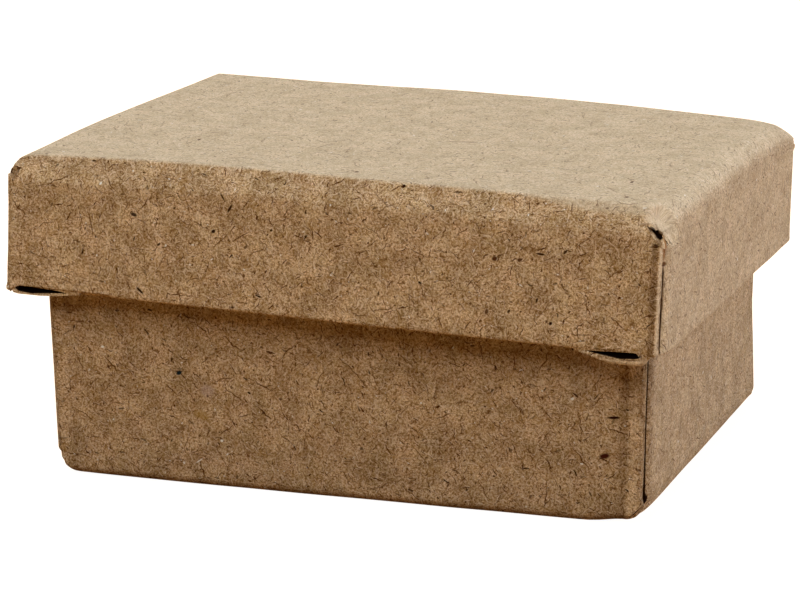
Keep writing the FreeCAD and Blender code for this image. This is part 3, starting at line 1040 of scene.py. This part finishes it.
    def shape_lips(self, moved: Array, spots: Array, front: Array) -> None:
        """Draw the left lip up under the rim and slide its crack outwards; ease the right one out.

        Args:
            moved: The places, changed in place.
            spots: Where they were at first.
            front: How much each place belongs to the front wall.
        """
        x, under = spots[:, 0], spots[:, 2] - self.height
        below = np.maximum(under, 0.0)
        left_lip = front * hump(x, -29.3, -20.0, 0.4) * smooth(under, -0.8, -0.3)
        moved[:, 2] -= left_lip * (below - np.interp(below, [0.0, 0.4, 0.85], [0.0, 0.34, 0.45]))
        moved[:, 2] -= 0.12 * left_lip * hump(under, -0.26, -0.02, 0.02)
        slid = np.interp(x, [-29.8, -28.2, -24.0, -21.5], [0.0, 1.0, 1.0, 0.0])
        moved[:, 0] -= 1.15 * left_lip * slid
        # Both cracks are pressed shut at their outer ends.
        off = under - self.seam_gap / 2
        shut = 0.27 * front * hump(np.abs(x), 28.25, 28.9, 0.6)
        moved[:, 2] -= shut * np.sign(off) * (1.0 - smooth(np.abs(off), 0.35, 1.1))
        right_lip = front * smooth(x, 20.0, 22.0) * smooth(below, 0.0, 0.2)
        moved[:, 1] -= 0.12 * right_lip
        moved[:, 0] += right_lip * np.interp(x, [27.2, 28.4, 29.4], [0.0, 0.35, 0.35])

    def sharpen_rim(self, moved: Array, spots: Array) -> None:
        """Keep the outside of the rim upright until close to its edge.

        Args:
            moved: The places, changed in place.
            spots: Where they were at first.
        """
        s = spots[:, 2]
        start = self.height - self.rim_round
        rim = smooth(s, start - 0.05, start + 0.05)
        for axis, face in enumerate((self.length / 2, self.wall(s))):
            inset = np.clip(face - np.abs(spots[:, axis]), 0.0, self.rim_round)
            out = 1.3 * rim * inset * (self.rim_round - inset)
            moved[:, axis] += np.sign(spots[:, axis]) * out

    def flatten_fold(self, moved: Array, spots: Array) -> None:
        """Turn the front's round fold into a leaning facet with a crisp upper edge.

        Args:
            moved: The places, changed in place.
            spots: Where they were at first.
        """
        x, y, s = spots.T
        fold, lean, soft = self.long_fold, math.radians(self.facet_lean), self.facet_soft
        far = fold - np.clip(self.depth / 2 - np.abs(y), -1.0, fold)
        up = fold - np.clip(s, 0.0, fold)
        angle = np.arctan2(up, np.maximum(far, 1e-4))
        flats = (fold / np.maximum(np.cos(angle), 0.05), self.facet_reach / np.cos(angle - lean),
                 fold / np.maximum(np.sin(angle), 0.05))
        nearest = -soft * np.log(sum(np.exp(-flat / soft) for flat in flats))
        in_fold = smooth(np.hypot(far, up), 0.3, 1.0) * (up > 0.0) * (far > 0.0)
        on_front = (y < 0.0) * smooth(self.length / 2 - np.abs(x), 0.8, 3.4)
        shift = self.facet_share * (nearest - fold) * in_fold * on_front
        moved[:, 1] -= shift * np.cos(angle)
        moved[:, 2] -= shift * np.sin(angle)

    def dust_and_sheen(self, spots: Array) -> Array:
        """Fade the top, up to where the long folds begin, and the right end a little, with dust and
        painted sheen.

        Args:
            spots: Places in the half's own frame.

        Returns:
            How much dust and painted sheen each place has.
        """
        x, y, s = spots.T
        out = np.abs(y) - self.depth / 2
        front = 1.0 - smooth(out + 1.6 - 0.8 * smooth(x, 16.0, 24.0), 0.0, 0.45)
        back = 1.0 - smooth(out, -0.7, -0.2)
        level = 1.0 - smooth(s, 0.5, self.end_fold + 0.5)
        right_end = smooth(x - self.length / 2, -0.5, -0.1)
        return np.maximum(0.47 * np.where(y > 0.0, back, front) * level, 0.27 * right_end)

    def painted_light_and_wear(self, spots: Array) -> Array:
        """Paint shade and light beside the right lapped ends, paint the cracks and slots black as
        shade, paint the lips' edges pale as highlight, and rub a front corner.

        Args:
            spots: Places in the half's own frame.

        Returns:
            How much painted light and rubbing (above 0) or painted shade (below 0) each place has,
            from -1 to 1.
        """
        x, y, s = spots.T
        past_end = np.abs(x) - self.panel_end(s)
        out, under = np.abs(y) - self.wall(s), s - self.height
        on_panel = smooth(out, -0.35, -0.1) * smooth(s, 1.6, 2.6)
        # Painted shade and highlight at the right ends of the long panels: a dark band where the
        # panel swells, and a pale band along its cut edge.
        dark = 0.36 * hump(past_end, -0.68, -0.42, 0.40)
        pale = 0.70 * hump(past_end, -0.13, -0.07, 0.08)
        painted_light_and_wear = on_panel * (x > 0.0) * (pale - dark)
        # Painted shade: the cracks over the front's lips are painted black. Painted highlight: the
        # lips' lower edges are painted pale.
        front = smooth(-y, self.depth / 2 - 2.0, self.depth / 2 - 1.6)
        crack = hump(np.abs(x), 23.4, 28.0, 0.2) * hump(under, -0.25, 0.4, 0.1)
        painted_light_and_wear -= front * crack * hump(out, -0.9, -0.25, 0.1)
        painted_light_and_wear += 0.5 * front * hump(np.abs(x), 23.5, 28.8, 0.5) * smooth(under, 0.4, 0.6)
        # Painted shade: the slots beside the lapped ends are painted black inside the round of the
        # fold.
        fold = self.long_fold
        arc = np.sqrt(np.maximum(fold ** 2 - (fold - s) ** 2, 0.0))
        inset = np.where(s < fold, fold - arc, 0.0)
        deep = (1.0 - smooth(out + inset, -0.68, -0.58)) * hump(out, -0.95, -0.4, 0.1)
        deep *= np.where(x > 0.0, 1.0 - hump(s, 2.6, 4.7, 0.3), smooth(s, 3.0, 4.0))
        painted_light_and_wear -= deep * smooth(past_end, -1.3, -1.1) * (1.0 - smooth(past_end, 0.16, 0.20))
        # Wear: the top's front right corner is rubbed paler.
        corner = np.hypot(x - self.length / 2 + 1.0, y + self.depth / 2 - 1.0)
        painted_light_and_wear += 0.35 * bell(corner, 1.6) * (1.0 - smooth(s, 0.6, 1.6))
        return np.clip(painted_light_and_wear, -1.0, 1.0)


# ---- Studio ----

@dataclass(frozen=True)
class Lamp:
    """A square soft box that looks at the object's middle, in metres and watts."""

    name: str
    place: Place
    size: float
    power: float
    colour: Colour

    def hang(self, aim: Vector) -> None:
        """Put the lamp up.

        Args:
            aim: The place it looks at, in metres.
        """
        data = bpy.data.lights.new(self.name, "AREA")
        data.shape = "SQUARE"
        data.size = self.size
        data.energy = self.power
        data.color = self.colour
        lamp = bpy.data.objects.new(self.name, data)
        lamp.location = self.place
        lamp.rotation_euler = (aim - Vector(self.place)).to_track_quat("-Z", "Y").to_euler()
        bpy.context.scene.collection.objects.link(lamp)


@dataclass
class Studio:
    """A pale floor, soft light and the camera; the floor's size is in metres."""

    floor_size: float = 3.0
    floor_drop: float = 0.02
    floor_colour: Colour = (0.47, 0.27, 0.10)
    floor_glow: float = 0.96
    white: Colour = (1.0, 1.0, 1.0)
    world_colour: Colour = (1.0, 0.75, 0.50)
    world_strength: float = 0.02
    aim: Place = (0.0, 0.0, 15.0)
    lamps: tuple[Lamp, ...] = (
        Lamp("right_soft_box", (0.80, -0.03, 0.20), 0.35, 5.7, (0.82, 1.0, 1.30)),
        Lamp("top_soft_box", (-0.05, 0.30, 0.85), 0.40, 4.0, (0.87, 1.0, 1.19)),
        Lamp("back_soft_box", (-0.75, 0.45, 0.12), 0.35, 4.0, (0.89, 1.0, 1.09)),
        Lamp("front_soft_box", (-0.05, -0.60, 0.72), 0.56, 7.1, (0.89, 1.0, 1.09)),
    )
    camera_place: Place = (88.9068, -255.2294, 78.4630)
    camera_ahead: Place = (-0.32454983, 0.91637782, -0.23434824)
    camera_right: Place = (0.94351873, 0.33110319, -0.0119618)
    lens: float = 135.313

    def build(self) -> None:
        """Set the floor, the light and the camera."""
        self.lay_floor()
        self.light_world()
        for lamp in self.lamps:
            lamp.hang(Vector(self.aim) * MM)
        self.set_camera()
        bpy.context.scene.view_settings.view_transform = "Standard"
        LOG.info("studio: floor, %d lamps, camera", len(self.lamps))

    def lay_floor(self) -> None:
        """Lay a wide floor that reads as white and keeps the shadow."""
        mesh = bmesh.new()
        bmesh.ops.create_grid(mesh, x_segments=1, y_segments=1, size=self.floor_size / 2)
        bmesh.ops.translate(mesh, verts=mesh.verts[:], vec=(0.0, 0.0, -self.floor_drop * MM))
        data = bpy.data.meshes.new("floor")
        mesh.to_mesh(data)
        mesh.free()
        data.materials.append(self.floor_paper())
        floor = bpy.data.objects.new("floor", data)
        bpy.context.scene.collection.objects.link(floor)

    def floor_paper(self) -> bpy.types.Material:
        """Make the floor's paper: plain to the light that it throws back, glowing to the camera.

        Returns:
            The finished material.
        """
        paper = bpy.data.materials.new("floor_paper")
        net = Net(paper)
        plain = net.node("BsdfDiffuse", Color=self.floor_colour).outputs[0]
        glow = net.node("Emission", Color=self.white, Strength=self.floor_glow).outputs[0]
        both = net.node("AddShader", None, plain, glow).outputs[0]
        net.node("OutputMaterial", Surface=net.by_ray(plain, both))
        return paper

    def light_world(self) -> None:
        """Fill the studio with plain light; the camera itself sees white."""
        world = bpy.data.worlds.new("studio")
        net = Net(world)
        fill = net.node("Background", Color=self.world_colour, Strength=self.world_strength)
        white = net.node("Background", Color=self.white)
        net.node("OutputWorld", Surface=net.by_ray(fill.outputs[0], white.outputs[0]))
        bpy.context.scene.world = world

    def set_camera(self) -> None:
        """Place the camera with a long lens, turned by its own three directions."""
        ahead, right = Vector(self.camera_ahead), Vector(self.camera_right)
        up = right.cross(ahead)
        data = bpy.data.cameras.new("camera")
        data.lens = self.lens
        data.sensor_width = 36.0
        data.clip_start = 0.01
        data.clip_end = 10.0
        camera = bpy.data.objects.new("camera", data)
        turned = Matrix((right, up, -ahead)).transposed().to_4x4()
        camera.matrix_world = Matrix.Translation(Vector(self.camera_place) * MM) @ turned
        bpy.context.scene.collection.objects.link(camera)
        bpy.context.scene.camera = camera


def main() -> None:
    """Build the box and the studio round it."""
    logging.basicConfig(level=logging.INFO)
    Studio().build()
    board = KraftFinish().material()
    for half in (Tray(), Lid()):
        half.build(board)


if __name__ == "__main__":
    main()
